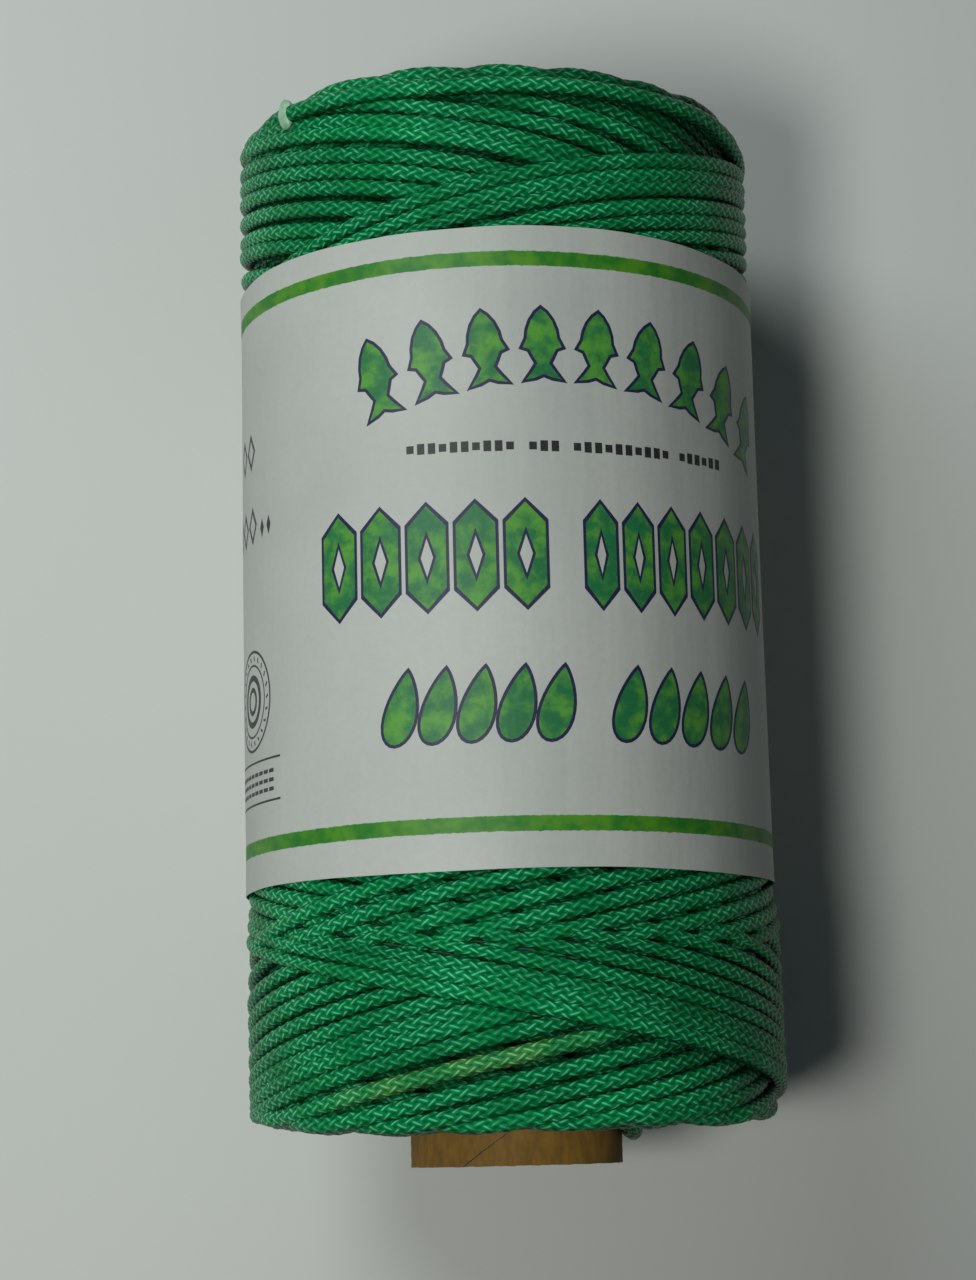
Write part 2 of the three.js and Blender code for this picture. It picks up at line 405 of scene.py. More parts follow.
    def settle(self):
        """How far each part of the side moves in or out, to make an even package with round shoulders."""
        level = self.side
        for axis, reach in ((0, 6), (1, 5)):
            level = np.maximum.reduce([shifted(level, step, axis) for step in range(-reach, reach + 1)])
        for axis, reach in ((0, 12), (1, 9)):
            steps = range(-reach, reach + 1)
            level = sum(shifted(level, step, axis) for step in steps) / len(steps)
        along = self.low_end + (np.arange(LENGTH_CELLS) + 0.5) * self.length_cell
        beside = np.clip((np.abs(along - LABEL_MIDDLE) - LABEL_HALF) / SWELL_RUN, 0, 1)
        swell = SWELL_UNDER_LABEL + (SWELL_BESIDE_LABEL - SWELL_UNDER_LABEL) * beside
        angle = (np.arange(ANGLE_CELLS) * self.angle_cell)[:, None]
        full = FULL_SIDE * np.clip(np.sin(angle), 0, 1) * np.where(along < 0, beside, 0)
        wanted = PACKAGE_RADIUS + swell + full - shoulder_drop(angle, along[None, :])
        self.move = np.clip(wanted - level, -MOST_PRESSED_IN, MOST_LET_OUT)

    def settled(self, angle, along, radius):
        """Radii after the package has settled; the core stays where it is."""
        row = self.side_row(along)
        share = np.clip((radius - CORE_RADIUS) / (PACKAGE_RADIUS - CORE_RADIUS), 0, 1)
        return radius + share * self.move[self.angle_index(angle), row]

    def seen_on_side(self):
        """Which samples of the path show on the package's side."""
        return surfaces(self.side, self.angle_index(self.angle),
                        lambda offset: self.side_row(self.along + offset),
                        0.85 * MM, CORD_WIDTH / 2, self.radius, CORD_HEIGHT / 2)

    def seen_on_face(self, sign):
        """Which samples of the path show on one end of the package."""
        face = self.near_face if sign < 0 else self.far_face
        seen = surfaces(face, self.angle_index(self.angle),
                        lambda offset: self.face_row(self.radius + offset),
                        0.75 * MM, CORD_HEIGHT / 2, self.along * sign, CORD_WIDTH / 2)
        return seen & (self.along * sign > PACKAGE_HALF - FACE_BAND)


def widen(mask, reach):
    """A mask with every run made longer at both ends."""
    wide = mask.copy()
    for step in range(1, reach + 1):
        wide[step:] |= mask[:-step]
        wide[:-step] |= mask[step:]
    return wide


def runs_of(mask, least):
    """The first and last index of each run of True that is long enough."""
    edges = np.flatnonzero(np.diff(np.concatenate([[False], mask, [False]]).astype(int)))
    pairs = edges.reshape(-1, 2)
    return [(first, last) for first, last in pairs if last - first >= least]


# ---- meshes

def add_piece(mesh, material, nodes):
    """A piece of the tube: what it is made of, and the solids of the frame that it stands for."""
    piece = bpy.data.objects.new(mesh.name, mesh)
    bpy.context.scene.collection.objects.link(piece)
    mesh.materials.append(material)
    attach(piece, "root")
    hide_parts(*nodes)


def quad_mesh(name, points, quads):
    """A smooth-shaded mesh of four-sided faces."""
    mesh = bpy.data.meshes.new(name)
    mesh.vertices.add(len(points))
    mesh.vertices.foreach_set("co", np.ascontiguousarray(points, np.float32).ravel())
    mesh.loops.add(quads.size)
    mesh.loops.foreach_set("vertex_index", np.ascontiguousarray(quads, np.int32).ravel())
    mesh.polygons.add(len(quads))
    mesh.polygons.foreach_set("loop_start", np.arange(0, quads.size, 4, dtype=np.int32))
    mesh.update(calc_edges=True)
    mesh.shade_smooth()
    return mesh


def grid_quads(rows, columns, closed_rows=False, closed_columns=False):
    """The faces of a grid of points, row by row; a closed way joins its last line to its first."""
    row = np.arange(rows if closed_rows else rows - 1)[:, None]
    column = np.arange(columns if closed_columns else columns - 1)[None, :]
    next_row = (row + 1) % rows
    next_column = (column + 1) % columns
    corners = [
        row * columns + column,
        row * columns + next_column,
        next_row * columns + next_column,
        next_row * columns + column,
    ]
    return np.stack(corners, axis=-1).reshape(-1, 4)


def end_faces(rows, columns):
    """The faces that close a folded grid's first and last rows."""
    first = np.arange(columns // 2 - 1)
    strip = np.stack([first, first + 1, columns - 2 - first, columns - 1 - first], axis=-1)
    return strip[:, ::-1], strip + (rows - 1) * columns


def unit(vectors):
    """Each vector at a length of one."""
    return vectors / np.linalg.norm(vectors, axis=1, keepdims=True)


def braid_relief(around, along):
    """Height of a braid of crossing yarns, from turns round the cord and lays along it."""
    first = YARNS_EACH_WAY * (around - along)
    second = YARNS_EACH_WAY * (around + along)
    first_yarn = np.round(first)
    second_yarn = np.round(second)
    first_crown = np.sqrt(np.clip(1 - (2 * (first - first_yarn)) ** 2, 0, 1))
    second_crown = np.sqrt(np.clip(1 - (2 * (second - second_yarn)) ** 2, 0, 1))
    first_height = YARN_WAVE * np.cos(math.pi * (second + first_yarn)) + YARN_CROWN * first_crown
    second_height = -YARN_WAVE * np.cos(math.pi * (first + second_yarn)) + YARN_CROWN * second_crown
    return np.maximum(first_height, second_height)


class CordMesh:
    """Lengths of braided cord gathered into one mesh."""

    def __init__(self):
        self.points = []
        self.quads = []
        self.maps = []
        self.tones = []
        self.stains = []
        self.creases = []
        self.count = 0
        self.triangles = 0

    def add(self, angle, radius, along, run, tone, stain=0.0, sunk_shade=0.0, squeeze=0.0):
        """One length of cord through these places, closed at both ends."""
        roll = TWIST_TURNS * np.sin(TURN * run / TWIST_SPAN)
        slow_roll = SLOW_TWIST_TURNS * np.sin(TURN * run / SLOW_TWIST_SPAN)
        around = SECTION[None, :] / TURN + (roll + slow_roll)[:, None]
        lays = np.repeat((run / BRAID_LAY)[:, None], len(SECTION), axis=1)
        width = CORD_WIDTH * (1 - np.broadcast_to(squeeze, run.shape))
        points = self.cord_points(angle, radius, along, width, braid_relief(around, lays) - YARN_CROWN)
        rings, sides = points.shape[:2]
        tube = grid_quads(rings, sides, closed_columns=True)
        quads = np.concatenate([tube, *end_faces(rings, sides)])
        cap_map = np.zeros((4 * (len(quads) - len(tube)), 2))
        self.maps.append(np.concatenate([self.tube_map(around, lays), cap_map]))
        self.points.append(points.reshape(-1, 3))
        self.quads.append(quads + self.count)
        self.tones.append(np.full(rings * sides, tone))
        self.stains.append(np.repeat(np.broadcast_to(stain, run.shape), sides))
        # Painted shade: the sides of the cord turned away from its top, and cords lying low, are marked
        # darker in an attribute.
        turned_away = 1 - np.clip(np.cos(SECTION), 0, 1)
        painted_deep_shade = np.broadcast_to(sunk_shade, run.shape)
        self.creases.append(np.maximum(turned_away[None, :], painted_deep_shade[:, None]).ravel())
        self.count += rings * sides
        self.triangles += 2 * len(quads)

    @staticmethod
    def cord_points(angle, radius, along, width, swell):
        """The cord's surface: a flattened ring round each place on its path, swelled by the braid."""
        centre = place(angle, radius, along)
        forward = unit(np.gradient(centre, axis=0))
        outward = np.stack([np.sin(angle), 0 * angle, np.cos(angle)], axis=-1)
        outward = unit(outward - forward * np.sum(outward * forward, axis=1, keepdims=True))
        sideways = np.cross(forward, outward)
        half_height = CORD_HEIGHT / 2 + swell
        half_width = width[:, None] / 2 + swell
        up = (half_height * np.cos(SECTION))[:, :, None] * outward[:, None, :]
        side = (half_width * np.sin(SECTION))[:, :, None] * sideways[:, None, :]
        return centre[:, None, :] + up + side

    @staticmethod
    def tube_map(around, lays):
        """The braid's map of each face. Its last column ends one turn on from its first."""
        wrapped = np.concatenate([around, around[:, :1] + 1], axis=1)
        u = [wrapped[:-1, :-1], wrapped[:-1, 1:], wrapped[1:, 1:], wrapped[1:, :-1]]
        v = [lays[:-1], lays[:-1], lays[1:], lays[1:]]
        return np.stack([u, v], axis=-1).transpose(1, 2, 0, 3).reshape(-1, 2)

    def build(self, name, material, nodes):
        mesh = quad_mesh(name, np.concatenate(self.points), np.concatenate(self.quads))
        layer = mesh.uv_layers.new(name="braid")
        layer.data.foreach_set("uv", np.concatenate(self.maps).astype(np.float32).ravel())
        for label, rows in (("tone", self.tones), ("stain", self.stains), ("painted_crease_shade", self.creases)):
            attribute = mesh.attributes.new(label, "FLOAT", "POINT")
            attribute.data.foreach_set("value", np.concatenate(rows).astype(np.float32))
        add_piece(mesh, material, nodes)


# ---- materials

class Recipe:
    """A material's node tree with short ways to add nodes to it."""

    def __init__(self, name):
        self.material = bpy.data.materials.new(name)
        self.material.use_nodes = True
        self.tree = self.material.node_tree
        self.shader = self.tree.nodes["Principled BSDF"]
        self.where = self.node("ShaderNodeTexCoord").outputs["Object"]

    def node(self, kind, **settings):
        node = self.tree.nodes.new(kind)
        for key, value in settings.items():
            setattr(node, key, value)
        return node

    def put(self, socket, value):
        if isinstance(value, bpy.types.NodeSocket):
            self.tree.links.new(value, socket)
        else:
            socket.default_value = value

    def math(self, operation, *values, kind="ShaderNodeMath"):
        node = self.node(kind, operation=operation)
        for socket, value in zip(node.inputs, values):
            self.put(socket, value)
        return node.outputs[0]

    def either(self, share, first, second):
        """The first value where the share is 1, and the second where it is 0."""
        rest = self.math("MULTIPLY", second, self.math("SUBTRACT", 1.0, share))
        return self.math("ADD", self.math("MULTIPLY", first, share), rest)

    def parts(self, vector):
        """A vector's three numbers."""
        node = self.node("ShaderNodeSeparateXYZ")
        self.put(node.inputs[0], vector)
        return node.outputs

    def scaled(self, vector, factor):
        node = self.node("ShaderNodeVectorMath", operation="SCALE")
        self.put(node.inputs["Vector"], vector)
        self.put(node.inputs["Scale"], factor)
        return node.outputs[0]

    def mix(self, factor, first, second, blend="MIX"):
        node = self.node("ShaderNodeMix", data_type="RGBA", blend_type=blend)
        self.put(node.inputs[0], factor)
        self.put(node.inputs[6], first)
        self.put(node.inputs[7], second)
        return node.outputs[2]

    def noise(self, scale, detail=2.0, rough=0.5, stretch=None):
        vector = self.where
        if stretch is not None:
            vector = self.math("MULTIPLY", vector, stretch, kind="ShaderNodeVectorMath")
        node = self.node("ShaderNodeTexNoise")
        self.put(node.inputs["Vector"], vector)
        self.put(node.inputs["Scale"], scale)
        self.put(node.inputs["Detail"], detail)
        self.put(node.inputs["Roughness"], rough)
        return node.outputs["Fac"]

    def spread(self, value, low, high, to_low=0.0, to_high=1.0):
        """A value moved from one range to another, with a soft start and stop."""
        node = self.node("ShaderNodeMapRange", interpolation_type="SMOOTHSTEP")
        self.put(node.inputs["Value"], value)
        self.put(node.inputs["From Min"], low)
        self.put(node.inputs["From Max"], high)
        self.put(node.inputs["To Min"], to_low)
        self.put(node.inputs["To Max"], to_high)
        return node.outputs["Result"]

    def bump(self, height, distance, strength=1.0):
        node = self.node("ShaderNodeBump")
        self.put(node.inputs["Height"], height)
        self.put(node.inputs["Distance"], distance)
        self.put(node.inputs["Strength"], strength)
        return node.outputs["Normal"]

    def attribute(self, name):
        return self.node("ShaderNodeAttribute", attribute_name=name).outputs["Fac"]

    def finish(self, color, roughness, normal=None, **constants):
        self.put(self.shader.inputs["Base Color"], color)
        self.put(self.shader.inputs["Roughness"], roughness)
        if normal is not None:
            self.put(self.shader.inputs["Normal"], normal)
        for key, value in constants.items():
            self.shader.inputs[key.replace("_", " ")].default_value = value
        return self.material


def braid_pattern(recipe):
    """The braid's height, the fibres in its yarns and the yarns' crests where a highlight is painted, all
    from the cord's map.
    """
    mapped = recipe.parts(recipe.node("ShaderNodeUVMap", uv_map="braid").outputs[0])
    around = recipe.math("MULTIPLY", mapped[0], YARNS_EACH_WAY)
    along = recipe.math("MULTIPLY", mapped[1], YARNS_EACH_WAY)
    first = recipe.math("SUBTRACT", around, along)
    second = recipe.math("ADD", around, along)
    heights, fibres, crest_highlights = [], [], []
    for yarn, other, sign in ((first, second, 1), (second, first, -1)):
        number = recipe.math("ROUND", yarn)
        offset = recipe.math("SUBTRACT", yarn, number)
        square = recipe.math("MULTIPLY", recipe.math("MULTIPLY", offset, offset), 4.0)
        crown = recipe.math("SQRT", recipe.math("MAXIMUM", recipe.math("SUBTRACT", 1.0, square), 0.0))
        turns = recipe.math("MULTIPLY", recipe.math("ADD", other, number), math.pi)
        wave = recipe.math("MULTIPLY", recipe.math("COSINE", turns), sign * YARN_WAVE / YARN_CROWN)
        heights.append(recipe.math("ADD", wave, crown))
        ridge = recipe.spread(square, 0.005, 0.07, 1.0, 0.0)
        crest_highlights.append(recipe.math("MULTIPLY", ridge, recipe.spread(wave, -0.3, 0.2)))
        fibres.append(recipe.math("MULTIPLY_ADD", offset, 7.0, recipe.math("MULTIPLY", other, 0.35)))
    first_on_top = recipe.math("GREATER_THAN", *heights)
    fibre = recipe.math("MULTIPLY", recipe.either(first_on_top, *fibres), TURN)
    strand = recipe.math("MULTIPLY_ADD", recipe.math("SINE", fibre), 0.5, 0.5)
    return recipe.math("MAXIMUM", *heights), strand, recipe.either(first_on_top, *crest_highlights)


def twine_material():
    """Green nylon yarns crossing each other in a braid, with painted shade in their valleys and a painted
    highlight along their crests.
    """
    recipe = Recipe("green_nylon_twine")
    height, strand, crest_highlight = braid_pattern(recipe)
    mottle = recipe.noise(160.0, 3.0)
    patches = recipe.noise(45.0, 2.0)

    painted_deep_shade = (0.0, 0.07, 0.018, 1)
    plain = (0.0, 0.21, 0.052, 1)
    light = (0.003, 0.37, 0.115, 1)
    painted_sheen = (0.12, 0.66, 0.36, 1)
    yellowed = (0.34, 0.62, 0.14, 1)
    # Painted shade: the braid's valleys between the yarns are coloured darker.
    color = recipe.mix(recipe.spread(height, 0.25, 1.15), painted_deep_shade, plain)
    # Painted highlight: the fibres on the crowns of the top yarns are coloured lighter.
    crown_highlight_share = recipe.spread(height, 0.8, 1.35, 0.0, 0.35)
    color = recipe.mix(recipe.math("MULTIPLY", strand, crown_highlight_share), color, light)
    color = recipe.mix(recipe.spread(mottle, 0.4, 0.75, 0.0, 0.2), color, light)
    # Painted highlight: a pale green line along each top yarn's crest, broken up by the mottle. The yellow
    # stain below is also stronger on it.
    painted_glint = recipe.math("MULTIPLY", crest_highlight, recipe.spread(mottle, 0.35, 0.6, 0.3, 1.0))
    color = recipe.mix(painted_glint, color, painted_sheen)
    faded = recipe.spread(patches, 0.3, 0.7, 0.65, 0.9)
    color = recipe.scaled(color, recipe.math("MULTIPLY_ADD", recipe.attribute("tone"), 0.5, faded))
    # Painted shade: the cord's sides turned away from its top, and cords lying low, are coloured darker.
    color = recipe.scaled(color, recipe.spread(recipe.attribute("painted_crease_shade"), 0.08, 0.75, 1.0, 0.3))
    soaked = recipe.spread(mottle, 0.35, 0.65, 0.04, 0.15)
    stained = recipe.math("MULTIPLY_ADD", painted_glint, 0.45, soaked)
    color = recipe.mix(recipe.math("MULTIPLY", recipe.attribute("stain"), stained), color, yellowed)

    relief = recipe.math("MULTIPLY_ADD", strand, 0.10, height)
    normal = recipe.bump(relief, YARN_CROWN, 0.9)
    gloss = {"IOR": 1.45, "Specular_IOR_Level": 0.18, "Specular_Tint": (0.2, 1.0, 0.5, 1)}
    return recipe.finish(color, 0.27, normal, **gloss)


def inner_twine_material():
    """The covers below the ones that show: the same nylon, coloured darker as painted shade."""
    recipe = Recipe("shaded_nylon_twine")
    speckle = recipe.noise(700.0, 2.0)
    color = recipe.mix(speckle, (0.0, 0.05, 0.02, 1), (0.002, 0.14, 0.055, 1))
    return recipe.finish(color, 0.6, recipe.bump(speckle, 0.3 * MM))


def sealed_material():
    """Nylon melted with a flame: pale, waxy and lumpy."""
    recipe = Recipe("sealed_nylon")
    lumps = recipe.noise(900.0, 3.0)
    color = recipe.mix(lumps, (0.11, 0.32, 0.16, 1), (0.42, 0.62, 0.45, 1))
    return recipe.finish(color, 0.35, recipe.bump(lumps, 0.35 * MM))


def kraft_material(name, dark, light):
    """Brown paper with long fibres and faint bands."""
    recipe = Recipe(name)
    fibres = recipe.noise(1100.0, 4.0, 0.6, (1.0, 0.25, 1.0))
    cloud = recipe.noise(60.0, 3.0)
    color = recipe.mix(recipe.spread(fibres, 0.3, 0.7), dark, light)
    color = recipe.scaled(color, recipe.spread(cloud, 0.3, 0.7, 0.85, 1.1))
    return recipe.finish(color, 0.78, recipe.bump(fibres, 0.06 * MM))


def label_material():
    """White paper, faintly soiled, with a mottled green line printed near each edge."""
    recipe = Recipe("label_paper")
    along = recipe.parts(recipe.where)[1]
    pulp = recipe.noise(900.0, 4.0, 0.6)
    cloud = recipe.noise(30.0, 3.0)
    paper = recipe.mix(recipe.spread(cloud, 0.3, 0.7), (0.43, 0.465, 0.43, 1), (0.49, 0.525, 0.485, 1))
    paper = recipe.mix(recipe.spread(pulp, 0.35, 0.65, 0.0, 0.15), paper, (0.38, 0.40, 0.37, 1))
    mottle = recipe.noise(260.0, 3.0, 0.6)
    ink = recipe.mix(recipe.spread(mottle, 0.35, 0.65), (0.012, 0.18, 0.012, 1), (0.075, 0.27, 0.01, 1))
    ragged = recipe.math("MULTIPLY_ADD", recipe.noise(1500.0), 0.3 * MM, -0.15 * MM)
    color = paper
    for middle in (FAR_STRIPE, NEAR_STRIPE):
        distance = recipe.math("ABSOLUTE", recipe.math("SUBTRACT", along, middle))
        distance = recipe.math("ADD", distance, ragged)
        printed = recipe.spread(distance, STRIPE_HALF - 0.06 * MM, STRIPE_HALF + 0.06 * MM, 1.0, 0.0)
        color = recipe.mix(printed, color, ink)
    creases = recipe.noise(120.0, 3.0, 0.5, (1.0, 0.12, 1.0))
    normal = recipe.bump(recipe.math("MULTIPLY_ADD", pulp, 0.1, creases), 0.4 * MM, 0.7)
    return recipe.finish(color, 0.55, normal)


def green_ink_material():
    """Printed green with lighter and darker mottling."""
    recipe = Recipe("green_ink")
    mottle = recipe.noise(330.0, 3.0, 0.6)
    fine = recipe.noise(1400.0, 2.0)
    color = recipe.mix(recipe.spread(mottle, 0.38, 0.68), (0.012, 0.16, 0.05, 1), (0.09, 0.33, 0.035, 1))
    color = recipe.mix(recipe.spread(fine, 0.5, 0.8, 0.0, 0.5), color, (0.02, 0.25, 0.07, 1))
    return recipe.finish(color, 0.5)


def plain_ink_material(name, color):
    """A dark ink, a little lighter in specks."""
    recipe = Recipe(name)
    fine = recipe.noise(2500.0, 2.0)
    lighter = tuple(min(1.0, 1.6 * part + 0.02) for part in color[:3]) + (1,)
    return recipe.finish(recipe.mix(recipe.spread(fine, 0.45, 0.8, 0.0, 0.6), color, lighter), 0.5)


def glue_material():
    """Dried paper glue, streaked by the brush."""
    recipe = Recipe("paper_glue")
    streaks = recipe.noise(400.0, 3.0)
    color = recipe.mix(streaks, (0.62, 0.56, 0.38, 1), (0.78, 0.73, 0.55, 1))
    return recipe.finish(color, 0.4, recipe.bump(streaks, 0.05 * MM))


def floor_material():
    """A pale painted board, cloudy, with painted shade that darkens it towards its near right corner."""
    recipe = Recipe("pale_board")
    cloud = recipe.noise(5.0, 3.0)
    grain = recipe.noise(350.0, 3.0)
    color = recipe.mix(recipe.spread(cloud, 0.3, 0.7), (0.60, 0.64, 0.60, 1), (0.62, 0.655, 0.615, 1))
    across, along, _ = recipe.parts(recipe.where)
    slant = recipe.math("MULTIPLY_ADD", across, 0.8, recipe.math("MULTIPLY", along, -0.6))
    # Painted shade: the board's colour falls off towards the near right corner, as the light does.
    color = recipe.scaled(color, recipe.spread(slant, 0.01, 0.235, 1.0, 0.46))
    return recipe.finish(color, 0.6, recipe.bump(grain, 0.08 * MM, 0.4))


# ---- the twine

def stained_run(winding, seen):
    """Where along the path the faint yellowing is: on one rising cord near the tube's near end."""
    turned = np.mod(winding.angle + math.pi, TURN) - math.pi
    rising = np.gradient(winding.along) < 0
    miss = np.abs(winding.along - STAIN_ALONG) + PACKAGE_RADIUS * np.abs(turned - STAIN_ANGLE)
    return winding.run[np.argmin(np.where(rising & seen, miss, 1.0))]


def cord_runs(winding, seen, step, material, title, sunk_shade_strength, yellowed=-1.0):
    """Builds the lengths of cord that show, split into pieces of a fair size.

    The shade argument says how much painted shade a cord lying below the surface gets, and yellowed where
    on the path the stain is.
    """
    random = np.random.default_rng(3)
    nodes = ["winding_layer_9"]
    mesh = CordMesh()
    part = 1
    for first, last in runs_of(widen(seen, WIDENED_CELLS), LEAST_RUN_CELLS):
        run = winding.run[first:last]
        count = max(6, int((run[-1] - run[0]) / step))
        at = np.linspace(run[0], run[-1], count)
        angle = np.interp(at, run, winding.angle[first:last])
        along = np.interp(at, run, winding.along[first:last])
        radius = winding.settled(angle, along, np.interp(at, run, winding.radius[first:last]))
        radius = smooth(radius, 2)
        stain = np.clip(1.6 - np.abs(at - yellowed) / STAIN_HALF, 0, 1)
        # A cord lying below the package's surface gets painted shade, as if the cords round it shaded it.
        sunk = PACKAGE_RADIUS - shoulder_drop(angle, along) - radius - CORD_HEIGHT / 2
        sunk_shade = sunk_shade_strength * np.clip(sunk / SUNK_FULL_SHADE, 0, 1)
        squeeze = PINCH * np.exp(-(((np.abs(along) - CROSSING_ROW) / PINCH_RUN) ** 2))
        mesh.add(angle, radius, along, at, random.uniform(-0.1, 0.3), stain, sunk_shade, squeeze)
        if mesh.triangles > MOST_TRIANGLES:
            mesh.build(f"{title}_{part}", material, nodes)
            mesh = CordMesh()
            part += 1
    if mesh.count:
        mesh.build(f"{title}_{part}", material, nodes)


def inner_mass(winding, material, nodes):
    """The covers below the visible cord, as one ribbed body round the core."""
    rows, columns = 300, 200
    angle = np.linspace(0, TURN, rows, endpoint=False)
    along = np.linspace(-(PACKAGE_HALF - 4 * MM), PACKAGE_HALF - 4 * MM, columns)
    column = winding.angle_index(angle)
    side = np.full((rows, columns), 1.0)
    for turn in (-2, -1, 0, 1, 2):
        for shift in (-0.6 * MM, 0, 0.6 * MM):
            row = winding.length_index(along + shift)
            side = np.minimum(side, winding.side[np.mod(column + turn, ANGLE_CELLS)][:, row])
    side = winding.settled(angle[:, None] + 0 * side, along[None, :] + 0 * side, side) - 0.7 * MM
    levels = np.linspace(PACKAGE_RADIUS - 4.2 * MM, CORE_RADIUS + 0.1 * MM, 30)
    level = winding.face_row(levels)
    rings = []
    for face, sign in ((winding.near_face, -1), (winding.far_face, 1)):
        out = np.full((rows, len(levels)), 1.0)
        for turn in (-2, 0, 2):
            for shift in (-1, 0, 1):
                cell = np.clip(level + shift, 0, RADIUS_CELLS - 1)
                out = np.minimum(out, face[np.mod(column + turn, ANGLE_CELLS)][:, cell])
        rings.append(place(angle[:, None], levels[None, :], sign * (out - 1.0 * MM)))
    wall = place(angle[:, None], side, along[None, :])
    points = np.concatenate([rings[0][:, ::-1], wall, rings[1]], axis=1)
    quads = grid_quads(rows, points.shape[1], closed_rows=True, closed_columns=True)
    mesh = quad_mesh("twine_inner_covers", points.reshape(-1, 3), quads[:, ::-1])
    add_piece(mesh, material, nodes)


def build_twine():
    twine = twine_material()
    winding = Winding()
    covers = [f"winding_layer_{number}" for number in range(1, 10)]
    inner_mass(winding, inner_twine_material(), covers[:8])
    side = winding.seen_on_side()
    below_label = np.abs(winding.along - LABEL_MIDDLE) < LABEL_HALF - 6 * MM
    side &= ~below_label
    near = side & (winding.along < 0)
    far = side & (winding.along > 0)
    cord_runs(winding, near, RING_STEP, twine, "twine_near_wraps", 1.0, stained_run(winding, near))
    cord_runs(winding, far, RING_STEP, twine, "twine_far_wraps", 1.0)
    for sign, title in ((-1, "twine_near_face"), (1, "twine_far_face")):
        face = winding.seen_on_face(sign) & ~widen(side, WIDENED_CELLS)
        cord_runs(winding, face, FACE_RING_STEP, twine, title, 0.0)
    build_tail(twine, winding)
    build_start_bend(twine)


def build_tail(twine, winding):
    """The end of the twine: it lies on the far shoulder and stops at a lump melted with a flame."""
    travel = np.linspace(0, 1, 110)
    angle = TAIL_START + math.radians(1) - TAIL_SWEEP * travel
    along = TAIL_ALONG + 0.9 * MM * travel
    lying = winding.settled(winding.angle[-1:], winding.along[-1:], winding.radius[-1:])[0]
    radius = lying + (TAIL_TIP_RADIUS - lying) * eased(travel / 0.6)
    mesh = CordMesh()
    mesh.add(angle, radius, along, winding.run[-1] + travel * TAIL_LENGTH, 0.15)
    mesh.build("sealed_tail_cord", twine, ["sealed_tail_end"])
    # the lump was pressed flat between finger and thumb while it was soft
    bm = bmesh.new()
    bmesh.ops.create_icosphere(bm, subdivisions=5, radius=1.0)
    knobs = unit(np.random.default_rng(11).normal(size=(LUMP_KNOBS, 3)))
    centre = Vector(place(np.array(LUMP_ANGLE), LUMP_RADIUS, PACKAGE_HALF - LUMP_INSET))
    outward = Vector((math.sin(LUMP_ANGLE), 0, math.cos(LUMP_ANGLE)))
    onward = Vector((-math.cos(LUMP_ANGLE), 0, math.sin(LUMP_ANGLE)))
    lengthwise = Vector((0, 1, 0))
    for vertex in bm.verts:
        way = np.array(vertex.co)
        swell = 1 + 0.12 * np.sum(np.exp(-np.sum((knobs - way) ** 2, axis=1) / 0.12))
        x, y, z = vertex.co * swell * LUMP_SIZE
        vertex.co = centre + onward * x + lengthwise * y + outward * z
    mesh = bpy.data.meshes.new("sealed_tail_lump")
    bm.to_mesh(mesh)
    bm.free()
    mesh.shade_smooth()
    add_piece(mesh, sealed_material(), ["sealed_tail_end"])


def build_start_bend(twine):
    """The start of the twine, a slack bend that stands out of the near face beside the core."""
    travel = np.linspace(0, 1, 130)
    angle = np.radians(58 + 60 * travel)
    along = -PACKAGE_HALF + BEND_INSET - BEND_BULGE * np.sin(math.pi * travel)
    radius = CORE_RADIUS + 1.6 * MM + 0.3 * MM * np.sin(TURN * travel)
    mesh = CordMesh()
    mesh.add(angle, radius, along, travel * BEND_LENGTH, -0.1)
    mesh.build("start_bend_cord", twine, ["inner_start_bend"])


# ---- the label

def label_radius(angle, along):
    """The label's outside: nearly round, with faint ripples, its end lapped over its start."""
    lap = (LABEL_THICKNESS + 0.08 * MM) * eased((angle - LAP_START) / LAP_CLIMB)
    edge = np.clip((np.abs(along - LABEL_MIDDLE) - LABEL_HALF + 5 * MM) / (5 * MM), 0, 1)
    ripple = 0.05 * MM * np.sin(7 * angle + 60 * along)
    ripple = ripple + 0.035 * MM * np.sin(13 * angle - 25 * along + 1.3)
    flutter = 0.06 * MM * edge * np.sin(17 * angle + 0.7) + 0.05 * MM * edge
    return LABEL_INNER_RADIUS + LABEL_THICKNESS + lap + ripple + flutter


def label_place(angle, radius, along):
    """A place on the label, pressed flat where the tube rests on the floor."""
    points = place(angle, radius, along)
    points[..., 2] = np.maximum(points[..., 2], 0.02 * MM)
    return points


def folded_mesh(name, outer, inner, closed_rows=False, ended=True):
    """A sheet with thickness: its outer side folds round both edges to its inner side."""
    points = np.concatenate([outer, inner[:, ::-1]], axis=1)
    rows, columns = points.shape[:2]
    faces = [grid_quads(rows, columns, closed_rows, closed_columns=True)[:, ::-1]]
    if ended:
        faces += end_faces(rows, columns)
    return quad_mesh(name, points.reshape(-1, 3), np.concatenate(faces))


def build_label():
    across = np.linspace(LABEL_START, LABEL_END, 300)[:, None]
    along = (LABEL_MIDDLE + LABEL_HALF * np.linspace(-1, 1, 64))[None, :]
    outside = label_radius(across, along)
    wavy = along + 0.12 * MM * np.sin(5 * across) * np.abs(along - LABEL_MIDDLE) / LABEL_HALF
    outer = label_place(across, outside, wavy)
    inner = label_place(across, outside - LABEL_THICKNESS, wavy)
    inner[..., 2] += (outer[..., 2] < 0.03 * MM) * LABEL_THICKNESS
    mesh = folded_mesh("printed_label", outer, inner)
    mesh.set_sharp_from_angle(angle=SHARP_ANGLE)
    add_piece(mesh, label_material(), ["paper_label"])
    build_glue()
    build_print()


